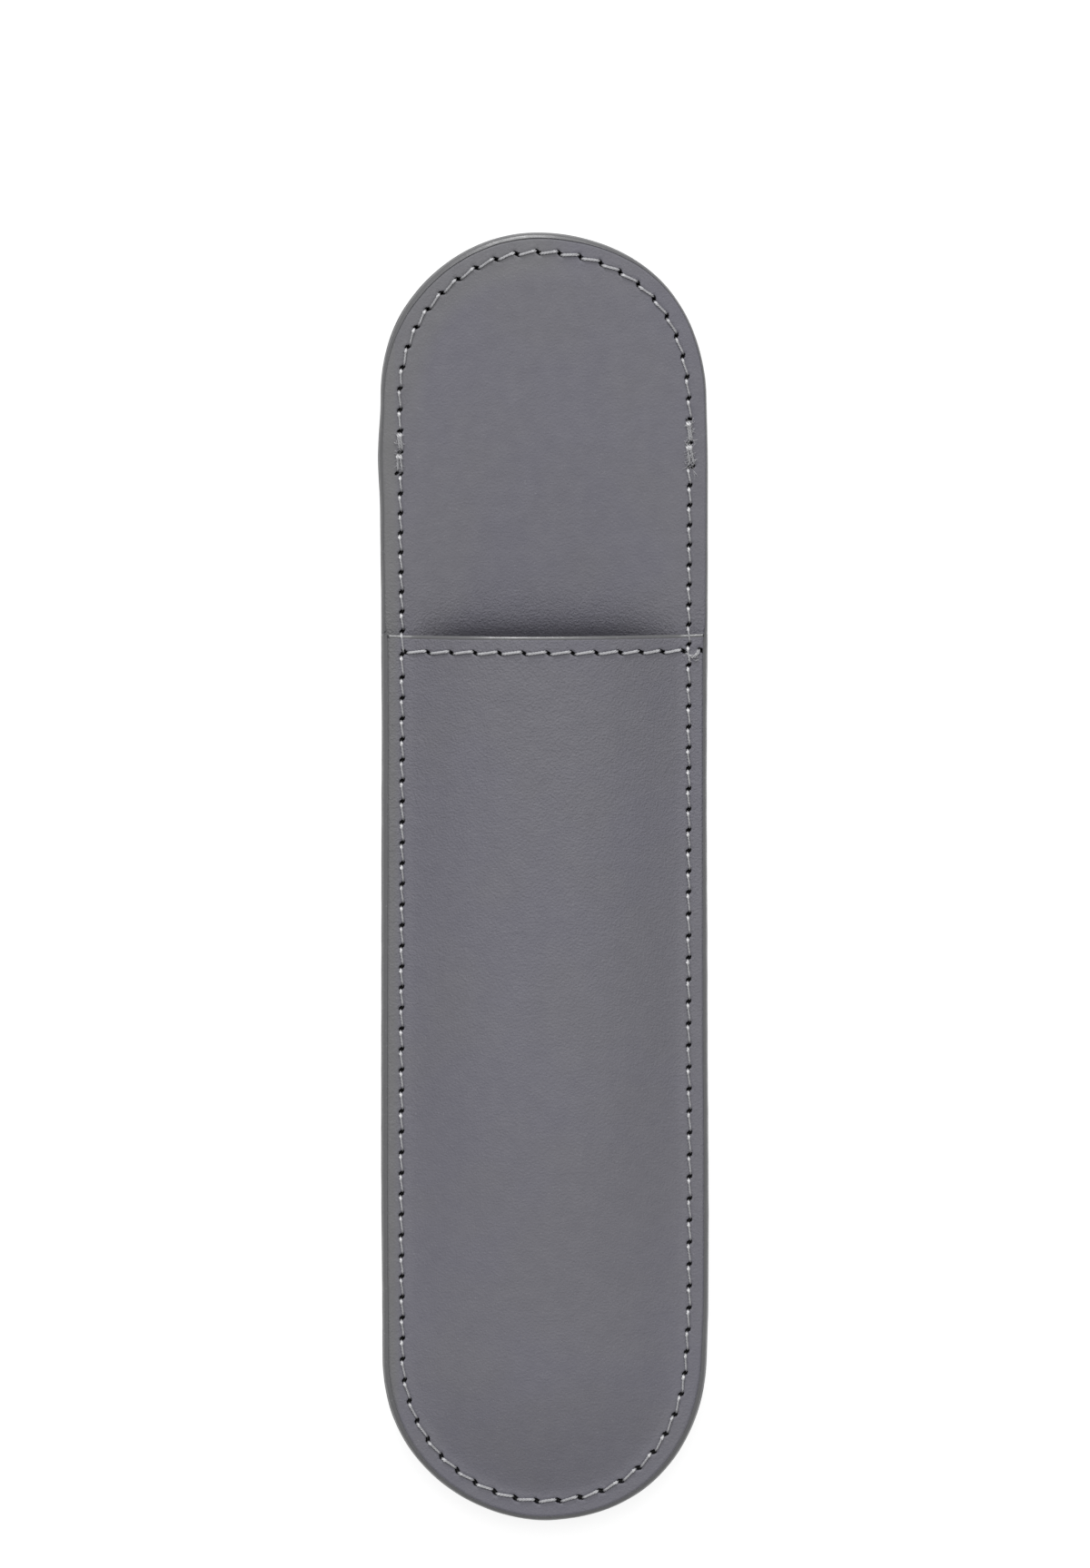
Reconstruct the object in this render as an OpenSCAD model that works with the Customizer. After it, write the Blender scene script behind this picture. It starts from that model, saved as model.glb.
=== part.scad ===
// Single pen sleeve in leather: a long obround back whose upper third is an open tongue,
// and a swelled pocket that is stitched over its lower two thirds.
// It lies on its back. The tongue points to +Y, the front faces +Z, and the level band
// under the belly of the back rests on z = 0. The origin is the middle of the outline.

/* [Outline] */
// Width over the painted edges
sleeve_w = 39.5; // [36:0.5:44]
// Length from the tip of the tongue to the foot
sleeve_l = 156; // [145:1:170]
// Length of the pocket, from its mouth to the foot
pocket_l = 107; // [95:1:115]

/* [Leather plies] */
// Thickness of the outer back leather
back_t = 1.1; // [0.8:0.1:1.6]
// Thickness of the stiff board between the two leathers of the back
board_t = 0.4; // [0.2:0.1:0.8]
// Thickness of the leather that faces the tongue and the pocket's back wall
facing_t = 0.9; // [0.6:0.1:1.4]
// Thickness of the lining under the pocket panel
lining_t = 0.5; // [0.3:0.1:0.8]
// Thickness of the outer leather of the pocket panel
panel_t = 1.1; // [0.8:0.1:1.6]

/* [Pocket form] */
// Height that the pocket panel swells above its stitched margin
front_rise = 3.9; // [3:0.1:6.5]
// Depth that the belly of the back swells below the stitched margin
back_dip = 2.4; // [1:0.1:3.4]
// Half width of the level band along the belly
band_half_w = 5; // [3:0.5:7]
// Length that the full belly runs past the mouth, up the tongue; below 0 it ends inside the pocket
belly_run = -12; // [-16:1:8]
// Gap between the seam and the foot of the swelling
swell_gap = 0.85; // [0.7:0.05:1.5]
// Roundness of the crown: higher is flatter on top
crown_power = 2.8; // [1.8:0.1:3.4]
// Softness of the foot: higher runs out more slowly
foot_power = 1.5; // [1.3:0.1:2]

/* [Edges] */
// Width of the rounded, painted edge in plan
edge_w = 0.6; // [0.4:0.1:0.9]
// Thickness of the paint along the pocket's mouth
mouth_edge_w = 0.4; // [0.3:0.1:0.6]

/* [Stitching] */
// Thickness of the thread
thread_d = 0.36; // [0.25:0.01:0.42]
// Distance from the outer edge to the seam round the sleeve
seam_inset = 2.3; // [2:0.1:3]
// Distance from the mouth to the row of stitches along it
mouth_seam_inset = 1.9; // [1.5:0.1:3]
// Stitch length round the edge
edge_pitch = 2.55; // [2.2:0.05:3.2]
// Stitch length along the mouth
mouth_pitch = 2.8; // [2.4:0.1:3.4]
// Slant of a stitch to its row on the front, in degrees
front_slant = 14; // [0:1:18]
// Slant of a stitch to its row on the back, in degrees
back_slant = 6; // [0:1:12]
// Thread that dives into the needle hole between two stitches
hole_gap = 0.3; // [0.2:0.05:0.5]
// Distance from the mouth to the needle hole above it, on the tongue
step_hole = 0.75; // [0.6:0.05:1]
// Distance from the mouth to the place where the tongue's seam ends
tongue_seam_end = 20; // [14:1:24]
// Number of stitches that the pocket's seam laps over the tongue's seam
lap_stitches = 2; // [1:1:3]
// Sideways step of the lapped stitches
lap_shift = 0.46; // [0.44:0.01:0.6]

/* [Hidden] */

leather_colour = [0.45, 0.45, 0.475];
facing_colour = [0.44, 0.44, 0.465];
board_colour = [0.72, 0.66, 0.55];
lining_colour = [0.36, 0.36, 0.38];
paint_colour = [0.38, 0.38, 0.39];
thread_colour = [0.66, 0.66, 0.67];

// Steps along half of the curved profile
profile_steps = 14;
// Sides of a round end in the drawn mesh
round_fn = 120;
// Sides of a thread in the drawn mesh
thread_fn = 16;
// Clearance between a thread and the leather that it lies on
thread_lift = 0.02;
// Length of the tapered end of a stitch
taper_l = 0.4;
// Share of the thread's thickness that is left at a tapered end
taper_share = 0.5;
// Sides of the circle that rounds an edge
corner_fn = 32;
// Overlap that joins the parts of one section
join = 0.001;
// The lower thread along the mouth shows where the pocket stands open by this many thread thicknesses
open_threads = 3;

end_r = sleeve_w / 2;
end_y = sleeve_l / 2 - end_r;
mouth_y = pocket_l - sleeve_l / 2;
ply_r = end_r - edge_w;
seam_r = end_r - seam_inset;
swell_r = seam_r - swell_gap;
belly_y = mouth_y + belly_run;

// Heights of the flat margin, from the back to the front
back_z = back_dip;
board_z = back_z + back_t;
facing_z = board_z + board_t;
lining_z = facing_z + facing_t;
panel_z = lining_z + lining_t;
top_z = panel_z + panel_t;

// Share of the full swelling at distance d from the pocket's long axis
function swell(d, level = 0) =
    let (t = min(1, max(0, d - level) / (swell_r - level)))
    pow(1 - pow(t, crown_power), foot_power);

function back_offset(d) = -back_dip * swell(d, band_half_w);
function front_offset(d) = front_rise * swell(d);

// Distances from the axis at which the curved profile has its points
function profile_marks(level) =
    [for (i = [0 : profile_steps]) level + (swell_r - level) * i / profile_steps];

// Upper or lower line of a ply, from the axis out to radius r
function half_line(z, r, on_back) =
    let (level = on_back ? band_half_w : 0)
    let (curve = [for (d = profile_marks(level)) [d, z + (on_back ? back_offset(d) : front_offset(d))]])
    concat(level > 0 ? [[0, z - back_dip]] : [], curve, r > swell_r ? [[r, z]] : []);

function mirrored(line) = [for (p = line) if (p[0] > 0) [-p[0], p[1]]];
function reversed(line) = [for (i = [len(line) - 1 : -1 : 0]) line[i]];
function full_line(line) = concat(reversed(mirrored(line)), line);

// Section of a ply across the pocket, with x across and y up
module full_section(z, t, on_back) {
    polygon(concat(full_line(half_line(z, ply_r, on_back)),
                   reversed(full_line(half_line(z + t, ply_r, on_back)))));
}

// Half of that section, out to radius r, for a round end
module half_section(z, t, r, on_back) {
    polygon(concat(half_line(z, r, on_back), reversed(half_line(z + t, r, on_back))));
}

// Runs a section that is drawn across the sleeve from y0 to y1
module along_y(y0, y1) {
    translate([0, y1, 0])
        rotate([90, 0, 0])
            linear_extrude(y1 - y0)
                children();
}

// Turns a half section round the end at y, on the tongue's side or on the foot's side
module round_end(y, towards_tongue) {
    translate([0, y, 0])
        rotate([0, 0, towards_tongue ? 0 : 180])
            rotate_extrude(angle = 180, $fn = round_fn)
                children();
}

// Flat part of a back ply on the tongue, round the end of the belly
module tongue_sheet(z, t) {
    translate([0, 0, z])
        linear_extrude(t)
            difference() {
                union() {
                    translate([0, end_y])
                        circle(ply_r, $fn = round_fn);
                    translate([-ply_r, belly_y])
                        square([2 * ply_r, end_y - belly_y]);
                }
                translate([0, belly_y])
                    circle(swell_r, $fn = round_fn);
                translate([-ply_r, belly_y - 2 * swell_r])
                    square([2 * ply_r, 2 * swell_r]);
            }
}

// A ply of the back: the whole outline, with a belly under the pocket
module back_ply(z, t) {
    along_y(-end_y, belly_y)
        full_section(z, t, true);
    round_end(-end_y, false)
        half_section(z, t, ply_r, true);
    round_end(belly_y, true)
        half_section(z, t, swell_r, true);
    tongue_sheet(z, t);
}

// A ply of the pocket: from the mouth to the foot, swelled to the front
module pocket_ply(z, t) {
    along_y(-end_y, mouth_y - mouth_edge_w)
        full_section(z, t, false);
    round_end(-end_y, false)
        half_section(z, t, ply_r, false);
}

// Section of the painted edge: square against the plies and round outside
module edge_section(h) {
    round_r = min(edge_w, h / 2);
    translate([ply_r, back_z]) {
        square([edge_w - round_r + join, h]);
        translate([edge_w - round_r, round_r])
            square([round_r, h - 2 * round_r]);
        for (y = [round_r, h - round_r])
            translate([edge_w - round_r, y])
                intersection() {
                    circle(round_r, $fn = corner_fn);
                    translate([0, -round_r])
                        square([round_r, 2 * round_r]);
                }
    }
}

module edge_run(y0, y1, h) {
    for (side = [0, 1])
        mirror([side, 0, 0])
            along_y(y0, y1)
                edge_section(h);
}

module back_panel() {
    color(leather_colour)
        back_ply(back_z, back_t);
}

module back_board() {
    color(board_colour)
        back_ply(board_z, board_t);
}

module inner_facing() {
    color(facing_colour)
        back_ply(facing_z, facing_t);
}

module pocket_lining() {
    color(lining_colour)
        pocket_ply(lining_z, lining_t);
}

module pocket_panel() {
    color(leather_colour)
        pocket_ply(panel_z, panel_t);
}

// One run of paint over the cut edges, taller where the pocket's plies join the back's
module perimeter_edge_paint() {
    color(paint_colour) {
        round_end(end_y, true)
            edge_section(lining_z - back_z);
        edge_run(mouth_y, end_y, lining_z - back_z);
        edge_run(-end_y, mouth_y, top_z - back_z);
        round_end(-end_y, false)
            edge_section(top_z - back_z);
    }
}

// Paint over the cut edge of the pocket's mouth
module mouth_edge_paint() {
    color(paint_colour)
        along_y(mouth_y - mouth_edge_w, mouth_y)
            full_section(lining_z, lining_t + panel_t, false);
}

// Length of the seam round one end
seam_arc = PI * seam_r;
// Length of the whole seam line
seam_loop = 4 * end_y + 2 * seam_arc;

// Angle round the end, in degrees, after arc length s
function arc_angle(s) = s / seam_r * 180 / PI;

// Point and outward direction of the seam at length s, clockwise from the middle of the left side
function seam_at(s) =
    s > seam_loop ? seam_at(s - seam_loop) :
    s <= end_y ? [[-seam_r, s], [-1, 0]] :
    s <= end_y + seam_arc ?
        let (a = 180 - arc_angle(s - end_y))
        [[seam_r * cos(a), end_y + seam_r * sin(a)], [cos(a), sin(a)]] :
    s <= 3 * end_y + seam_arc ? [[seam_r, 2 * end_y + seam_arc - s], [1, 0]] :
    s <= 3 * end_y + 2 * seam_arc ?
        let (a = -arc_angle(s - 3 * end_y - seam_arc))
        [[seam_r * cos(a), seam_r * sin(a) - end_y], [cos(a), sin(a)]] :
    [[-seam_r, s - seam_loop], [-1, 0]];

// Length along the seam at height y on the left and on the right side
function left_s(y) = y;
function right_s(y) = 2 * end_y + seam_arc - y;

// Needle holes from s0 to s1, at a whole number of stitches near the pitch
function holes(s0, s1, pitch) =
    let (n = max(1, round((s1 - s0) / pitch)))
    [for (i = [0 : n]) s0 + (s1 - s0) * i / n];

// A stitch: a round thread from a to b with tapered ends
module stitch(a, b) {
    v = b - a;
    l = norm(v);
    translate(a)
        rotate([0, acos(v[2] / l), atan2(v[1], v[0])]) {
            cylinder(h = taper_l, d1 = thread_d * taper_share, d2 = thread_d, $fn = thread_fn);
            translate([0, 0, taper_l])
                cylinder(h = l - 2 * taper_l, d = thread_d, $fn = thread_fn);
            translate([0, 0, l - taper_l])
                cylinder(h = taper_l, d1 = thread_d, d2 = thread_d * taper_share, $fn = thread_fn);
        }
}

// End of a stitch of the edge seam: on the seam line at s, moved outwards by side
function stitch_end(s, side, z) =
    let (at = seam_at(s))
    [at[0][0] + side * at[1][0], at[0][1] + side * at[1][1], z];

// Stitches between the given needle holes, on a surface at height z
module seam_row(marks, z, slant, shift = 0) {
    for (i = [0 : len(marks) - 2]) {
        s0 = marks[i] + hole_gap / 2;
        s1 = marks[i + 1] - hole_gap / 2;
        lean = tan(slant) * (s1 - s0) / 2;
        stitch(stitch_end(s0, shift - lean, z), stitch_end(s1, shift + lean, z));
    }
}

// Stitch that climbs from the tongue over the pocket's edge, on one side of the mouth.
// It leaves the hole above the mouth, rises in front of the edge and lies back on the panel.
module step_stitch(side) {
    foot = [side * seam_r, mouth_y + step_hole, lining_z + ride_h];
    bend = [side * seam_r, mouth_y + thread_d / 2 + thread_lift, top_z + ride_h];
    land = [side * seam_r, first_pocket_hole, top_z + ride_h];
    rise = [side * seam_r, bend[1], lining_z + ride_h];
    hull() {
        translate(foot)
            sphere(d = thread_d * taper_share, $fn = thread_fn);
        translate(rise)
            sphere(d = thread_d, $fn = thread_fn);
    }
    translate(rise)
        cylinder(h = bend[2] - rise[2], d = thread_d, $fn = thread_fn);
    translate(bend)
        sphere(d = thread_d, $fn = thread_fn);
    stitch(bend + [0, thread_d / 2, 0], land);
}

// Height of a thread's middle above the leather that it lies on
ride_h = thread_d / 2 + thread_lift;
front_tongue_z = lining_z + ride_h;
front_pocket_z = top_z + ride_h;
back_thread_z = back_z - ride_h;

tongue_end_y = mouth_y + tongue_seam_end;
lap_end_y = tongue_end_y + lap_stitches * edge_pitch;
step_y = mouth_y + step_hole;

tongue_marks = holes(left_s(tongue_end_y), right_s(tongue_end_y), edge_pitch);
lap_right_marks = holes(right_s(lap_end_y), right_s(tongue_end_y), edge_pitch);
side_right_marks = holes(right_s(tongue_end_y), right_s(step_y), edge_pitch);
pocket_marks = holes(right_s(step_y), left_s(step_y) + seam_loop, edge_pitch);
side_left_marks = holes(left_s(step_y), left_s(tongue_end_y), edge_pitch);
lap_left_marks = holes(left_s(tongue_end_y), left_s(lap_end_y), edge_pitch);
first_pocket_hole = seam_at(pocket_marks[1])[0][1] + hole_gap / 2;
flat_pocket_marks = [for (i = [1 : len(pocket_marks) - 2]) pocket_marks[i]];

module tongue_seam_needle_thread() {
    color(thread_colour)
        seam_row(tongue_marks, front_tongue_z, front_slant);
}

module tongue_seam_bobbin_thread() {
    color(thread_colour)
        seam_row(tongue_marks, back_thread_z, back_slant);
}

module pocket_seam_needle_thread() {
    color(thread_colour) {
        seam_row(lap_right_marks, front_tongue_z, front_slant, lap_shift);
        seam_row(side_right_marks, front_tongue_z, front_slant);
        step_stitch(1);
        seam_row(flat_pocket_marks, front_pocket_z, front_slant);
        step_stitch(-1);
        seam_row(side_left_marks, front_tongue_z, front_slant);
        seam_row(lap_left_marks, front_tongue_z, front_slant, lap_shift);
    }
}

module pocket_seam_bobbin_thread() {
    color(thread_colour) {
        seam_row(lap_right_marks, back_thread_z, back_slant, lap_shift);
        seam_row(side_right_marks, back_thread_z, back_slant);
        seam_row(pocket_marks, back_thread_z, back_slant);
        seam_row(side_left_marks, back_thread_z, back_slant);
        seam_row(lap_left_marks, back_thread_z, back_slant, lap_shift);
    }
}

// The mouth's row runs between the two sides of the edge seam
mouth_row_half = seam_r - thread_d - tan(front_slant) * edge_pitch;
mouth_row_y = mouth_y - mouth_seam_inset;
mouth_marks = holes(-mouth_row_half, mouth_row_half, mouth_pitch);

// Height of a straight stitch over the curved section, so that it lies on it and not in it
function chord_lift(x0, x1) =
    let (mid = front_offset(abs(x0 + x1) / 2))
    let (chord = (front_offset(abs(x0)) + front_offset(abs(x1))) / 2)
    max(0, mid - chord);

// Stitches along the mouth on a surface that is z high at the margin
module mouth_row(marks, z, slant, dir) {
    for (i = [0 : len(marks) - 2]) {
        x0 = marks[i] + hole_gap / 2;
        x1 = marks[i + 1] - hole_gap / 2;
        lean = tan(slant) * (x1 - x0) / 2;
        lift = dir > 0 ? chord_lift(x0, x1) : 0;
        stitch([x0, mouth_row_y - lean, z + lift + front_offset(abs(x0))],
               [x1, mouth_row_y + lean, z + lift + front_offset(abs(x1))]);
    }
}

// Clear height of the pocket at x
function clear_h(x) = front_offset(abs(x)) - back_offset(abs(x));

// Under the panel the thread shows only where the lining stands clear of the facing
open_mouth_marks = [for (x = mouth_marks) if (clear_h(x) > open_threads * thread_d) x];

module mouth_seam_needle_thread() {
    color(thread_colour)
        mouth_row(mouth_marks, top_z + ride_h, front_slant, 1);
}

module mouth_seam_bobbin_thread() {
    color(thread_colour)
        mouth_row(open_mouth_marks, lining_z - ride_h, back_slant, -1);
}

back_panel();
back_board();
inner_facing();
pocket_lining();
pocket_panel();
perimeter_edge_paint();
mouth_edge_paint();
tongue_seam_needle_thread();
tongue_seam_bobbin_thread();
pocket_seam_needle_thread();
pocket_seam_bobbin_thread();
mouth_seam_needle_thread();
mouth_seam_bobbin_thread();
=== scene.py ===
import math
import random

import bpy
import numpy as np
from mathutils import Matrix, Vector
from mathutils.geometry import delaunay_2d_cdt
from mathutils.kdtree import KDTree


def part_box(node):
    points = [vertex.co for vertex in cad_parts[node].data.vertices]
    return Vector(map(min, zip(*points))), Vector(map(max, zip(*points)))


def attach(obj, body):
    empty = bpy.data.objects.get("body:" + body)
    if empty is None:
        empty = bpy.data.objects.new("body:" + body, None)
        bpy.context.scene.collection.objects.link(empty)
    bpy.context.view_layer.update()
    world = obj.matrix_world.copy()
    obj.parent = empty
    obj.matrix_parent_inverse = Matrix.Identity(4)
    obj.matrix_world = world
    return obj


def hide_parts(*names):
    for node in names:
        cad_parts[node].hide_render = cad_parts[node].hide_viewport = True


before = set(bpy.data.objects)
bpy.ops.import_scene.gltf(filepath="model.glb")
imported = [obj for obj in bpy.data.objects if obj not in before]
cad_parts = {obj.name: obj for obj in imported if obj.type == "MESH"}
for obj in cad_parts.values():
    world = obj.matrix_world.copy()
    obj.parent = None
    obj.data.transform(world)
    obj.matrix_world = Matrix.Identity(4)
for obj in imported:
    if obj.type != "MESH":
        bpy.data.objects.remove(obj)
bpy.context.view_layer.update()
random.seed(7)

# All sizes and places are in millimetres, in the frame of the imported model, until a mesh is made
MM = 0.001


def node_box(name):
    """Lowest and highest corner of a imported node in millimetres."""
    low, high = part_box(name)
    return np.array(low) / MM, np.array(high) / MM


paint_low, paint_high = node_box("perimeter_edge_paint")
back_low = node_box("back_panel")[0]
facing_low, facing_high = node_box("inner_facing")
board_low = node_box("back_board")[0]
panel_low, panel_high = node_box("pocket_panel")
mouth_high = node_box("mouth_edge_paint")[1]

# The drawn outline: two straight sides and two round ends
END_R = paint_high[0]
END_Y = paint_high[1] - END_R
# The plies reach a little into the painted edge
PLY_LAP = 0.3
PLY_R = facing_high[0] + PLY_LAP
MOUTH_Y = mouth_high[1]
MOUTH_PAINT = MOUTH_Y - panel_high[1]

# Heights of the flat margin, from the back to the front
BACK_Z = paint_low[2]
MARGIN_Z = paint_high[2]
TONGUE_Z = facing_high[2]
PANEL_Z = panel_low[2]
RISE = panel_high[2] - MARGIN_Z
DIP = BACK_Z - back_low[2]
FACING_Z = facing_low[2] + DIP
BOARD_Z = board_low[2] + DIP

# The seam line, and the swelling of the pocket inside it
SEAM_INSET = 2.3
SEAM_R = END_R - SEAM_INSET
SWELL_INSET = 0.85
SWELL_R = SEAM_R - SWELL_INSET
BAND_HALF_W = 5.0
CROWN_POWER = 2.8
FOOT_POWER = 1.5

# Stations run clockwise along the seam line, from the middle of the left side
SEAM_ARC = math.pi * SEAM_R
SEAM_LOOP = 4 * END_Y + 2 * SEAM_ARC
CORNERS = [0, END_Y, END_Y + SEAM_ARC, 3 * END_Y + SEAM_ARC, 3 * END_Y + 2 * SEAM_ARC, SEAM_LOOP]
CORNER_TURN = np.radians([180, 180, 0, 0, -180, -180])
CORNER_Y = [0, END_Y, END_Y, -END_Y, -END_Y, 0]

# How far the hand-cut edge and the seam stray outwards from the drawn lines: station, distance
EDGE_DRIFT = [(0, -0.01), (18, -0.06), (32, 0.03), (44, 0.16), (51, 0.43), (58, 0.1), (68, 0.36), (79, 0.4),
              (90, 0.13), (99, 0.31), (110, -0.02), (122, 0.18), (132, 0.17), (160, 0.02), (186, 0.12),
              (214, 0.26), (223, 0.22), (231, 0.02), (246, 0.46), (256, 0.19), (265, 0), (275, 0.03),
              (284, -0.15), (310, 0.02)]
SEAM_DRIFT = [(0, -0.3), (27, -0.3), (42, -0.08), (56, 0), (70, 0.15), (80, 0.15), (88, 0), (101, 0.37),
              (110, 0.06), (119, 0.25), (150, 0.09), (190, 0.09), (205, 0.2), (222, 0.16), (232, -0.26),
              (247, 0.25), (257, 0.03), (270, -0.15), (282, -0.35), (300, -0.2), (325, -0.22)]
# Distance from the axis inside which nothing strays
STILL_R = 9.0


def left_at(y):
    return y % SEAM_LOOP


def right_at(y):
    return 2 * END_Y + SEAM_ARC - y


def smooth(t):
    """Rises from 0 to 1 as t does, with level ends."""
    t = np.clip(t, 0, 1)
    return t * t * (3 - 2 * t)


def bump(t):
    """1 where t is 0, falling off as a bell."""
    return np.exp(-np.square(t))


def unit(rows):
    return rows / np.linalg.norm(rows, axis=1)[:, None]


def along(station, r):
    """Points and clockwise and outward directions on the drawn outline with end radius r."""
    s = np.mod(np.asarray(station, float), SEAM_LOOP)
    turn = np.interp(s, CORNERS, CORNER_TURN)
    out = np.stack([np.cos(turn), np.sin(turn)], -1)
    way = np.stack([out[..., 1], -out[..., 0]], -1)
    centre = np.stack([np.zeros_like(s), np.interp(s, CORNERS, CORNER_Y)], -1)
    return centre + out * np.expand_dims(np.broadcast_to(r, s.shape), -1), way, out


def place_of(xy):
    """Station, distance from the axis and outward direction of each point."""
    centre_y = np.clip(xy[:, 1], -END_Y, END_Y)
    away = np.stack([xy[:, 0], xy[:, 1] - centre_y], -1)
    d = np.hypot(away[:, 0], away[:, 1])
    out = away / np.maximum(d, 1e-9)[:, None]
    turn = np.arctan2(out[:, 1], out[:, 0])
    top = END_Y + (math.pi - turn) * SEAM_R
    bottom = 3 * END_Y + SEAM_ARC - turn * SEAM_R
    side = np.where(xy[:, 0] < 0, np.mod(xy[:, 1], SEAM_LOOP), right_at(xy[:, 1]))
    station = np.where(xy[:, 1] > END_Y, top, np.where(xy[:, 1] < -END_Y, bottom, side))
    return station, d, out


def drift(station, keys):
    """Smooth curve through the keys, round the whole seam."""
    at = np.array([k[0] for k in keys] + [keys[0][0] + SEAM_LOOP], float)
    size = np.array([k[1] for k in keys] + [keys[0][1]], float)
    s = np.mod(station, SEAM_LOOP)
    i = np.clip(np.searchsorted(at, s, side="right") - 1, 0, len(keys) - 1)
    return size[i] + (size[i + 1] - size[i]) * smooth((s - at[i]) / (at[i + 1] - at[i]))


def hand_cut(xy):
    """Moves drawn points to where the hand-cut edge and the hand-led seam put them."""
    station, d, out = place_of(xy)
    edge = drift(station, EDGE_DRIFT)
    seam = drift(station, SEAM_DRIFT)
    to_seam = smooth((d - STILL_R) / (SEAM_R - STILL_R))
    to_edge = np.clip((d - SEAM_R) / (END_R - SEAM_R), 0, 1) ** 3
    return xy + out * (seam * to_seam * (1 - to_edge) + edge * to_edge)[:, None]


# The mouth's cut bows down in the middle and leans a little
MOUTH_SET = -0.04
MOUTH_BOW = 0.3
MOUTH_LEAN = 0.003


def mouth_line(x):
    """Height on the sleeve of the pocket's mouth."""
    return MOUTH_Y + MOUTH_SET + MOUTH_BOW * np.square(x / SEAM_R) + MOUTH_LEAN * x


def swell(xy, level=0.0):
    """Share of the full swelling. It is 1 up to the distance level from the pocket's axis."""
    d = np.hypot(xy[:, 0], np.minimum(xy[:, 1] + END_Y, 0))
    t = np.clip((d - level) / (SWELL_R - level), 0, 1)
    return (1 - t ** CROWN_POWER) ** FOOT_POWER


# Towards the foot the pocket thins out by this share
FADE_START = -22.0
FADE_SHARE = 0.46


def front_lift(xy):
    fade = 1 - FADE_SHARE * smooth((FADE_START - xy[:, 1]) / (FADE_START + END_Y + SWELL_R))
    return RISE * fade * swell(xy)


def belly(xy, share):
    """Dip of the back: full under the pocket, and of the given share at each point further up."""
    return -DIP * share * swell(xy, BAND_HALF_W)


# The tongue comes in almost level and turns down to the mouth, most steeply just before the lip. Part of
# the drop is long and part is steep, and their sum levels off at the full depth
LONG_SHARE = 0.3
LONG_RUN = 24.0
LONG_POWER = 1.3
STEEP_RUN = 1.4
STEEP_START = -0.2
LEVELLING = 4
# Right at the lip the leather is pressed down
LIP_DROP = 0.05
LIP_RUN = 0.5


def back_lift(xy):
    s = xy[:, 1] - MOUTH_Y
    away = np.clip(s / LONG_RUN, 0, 1)
    steep = np.exp((STEEP_START - s) / STEEP_RUN)
    drop = LONG_SHARE * (1 - away) ** LONG_POWER + (1 - LONG_SHARE) * steep
    return belly(xy, drop / (1 + drop ** LEVELLING) ** (1 / LEVELLING))


# Past the pocket's swelling the leather falls a little further to the seam at both ends, and from
# there to the tip of the tongue
END_RUN = 3.6
END_FALL = 0.14
TIP_RUN = 1.5
TIP_FALL = 0.05


def end_fall(xy):
    beyond = np.maximum(np.abs(xy[:, 1]) - END_Y, 0)
    d = np.hypot(xy[:, 0], beyond)
    inner = END_FALL * smooth((d - SEAM_R + END_RUN) / END_RUN)
    outer = TIP_FALL * np.clip((d - SEAM_R) / TIP_RUN, 0, 1) * (xy[:, 1] > 0)
    return (inner + outer) * np.square(beyond / np.maximum(d, 1e-9))


# On the outside of the back the turn of the tongue is softer
SOFT_START = 9.0
SOFT_RUN = 13.0


def tongue_skin(xy):
    lip = LIP_DROP * np.exp(-np.maximum(xy[:, 1] - mouth_line(xy[:, 0]), 0) / LIP_RUN)
    return TONGUE_Z + back_lift(xy) - lip - end_fall(xy)


def pocket_skin(xy):
    return MARGIN_Z + front_lift(xy) - end_fall(xy)


def back_skin(xy):
    return BACK_Z + belly(xy, smooth((SOFT_START - xy[:, 1] + MOUTH_Y) / SOFT_RUN))


def lining_skin(xy):
    return TONGUE_Z + front_lift(xy)


def front_skin(xy):
    """Top of what shows from the front."""
    return np.where(xy[:, 1] < mouth_line(xy[:, 0]), pocket_skin(xy), tongue_skin(xy))


# Stitches. A hole is a slit, cut askew to the seam by the needle's blade. The pull of the thread
# opens it most where the seam runs along the sleeve
SLIT_TURN = math.radians(42)
SLIT_TURN_UP = math.radians(8)
MOUTH_SLIT_TURN = math.radians(37)
SLIT_HALF_L = 0.38
SLIT_HALF_L_ENDS = 0.09
SLIT_HALF_W = 0.21
SLIT_HALF_W_UP = -0.035
SLIT_DEPTH = 0.8
SLIT_REACH = 0.62
THREAD_STRANDS = 3
STRAND_LAY = 1.1


def evenly(marks):
    """Places of holes along marks, each of them a place and the count of stitches on to the next mark."""
    found = []
    for (start, count), (end, _) in zip(marks, marks[1:]):
        found += [start + (end - start) * i / count for i in range(count)]
    return found + [marks[-1][0]]


TONGUE_STATIONS = evenly([(left_at(48.9), 2), (left_at(54.0), 24), (right_at(55.4), 2),
                          (right_at(49.7), 0)])
# The seam round the pocket starts and ends over the first two stitches of the tongue's seam
POCKET_STATIONS = evenly([(right_at(55.4), 2), (right_at(49.7), 1), (right_at(47.4), 8),
                          (right_at(28.1), 12), (right_at(-1.9), 21), (right_at(-57.6), 21),
                          (SEAM_LOOP - 58.5, 33), (SEAM_LOOP + 24.1, 2), (SEAM_LOOP + 29.7, 8),
                          (SEAM_LOOP + 48.8, 2), (SEAM_LOOP + 54.0, 0)])
MOUTH_XS = evenly([(-17.14, 7), (3.5, 2), (9.2, 3), (16.8, 1), (18.95, 0)])
MOUTH_ROW_Y = MOUTH_Y - 2.0
# The lapped stitches: how many at each end, how far each of their holes steps sideways from the seam's
# line, and the share that their slits keep of the full size
LAP_COUNT = 2
TONGUE_LAP_SHIFT = [0.42, 0.14, 0.1]
POCKET_LAP_SHIFT = [-0.14, -0.14, -0.1]
LAP_SLIT = 0.78


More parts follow.
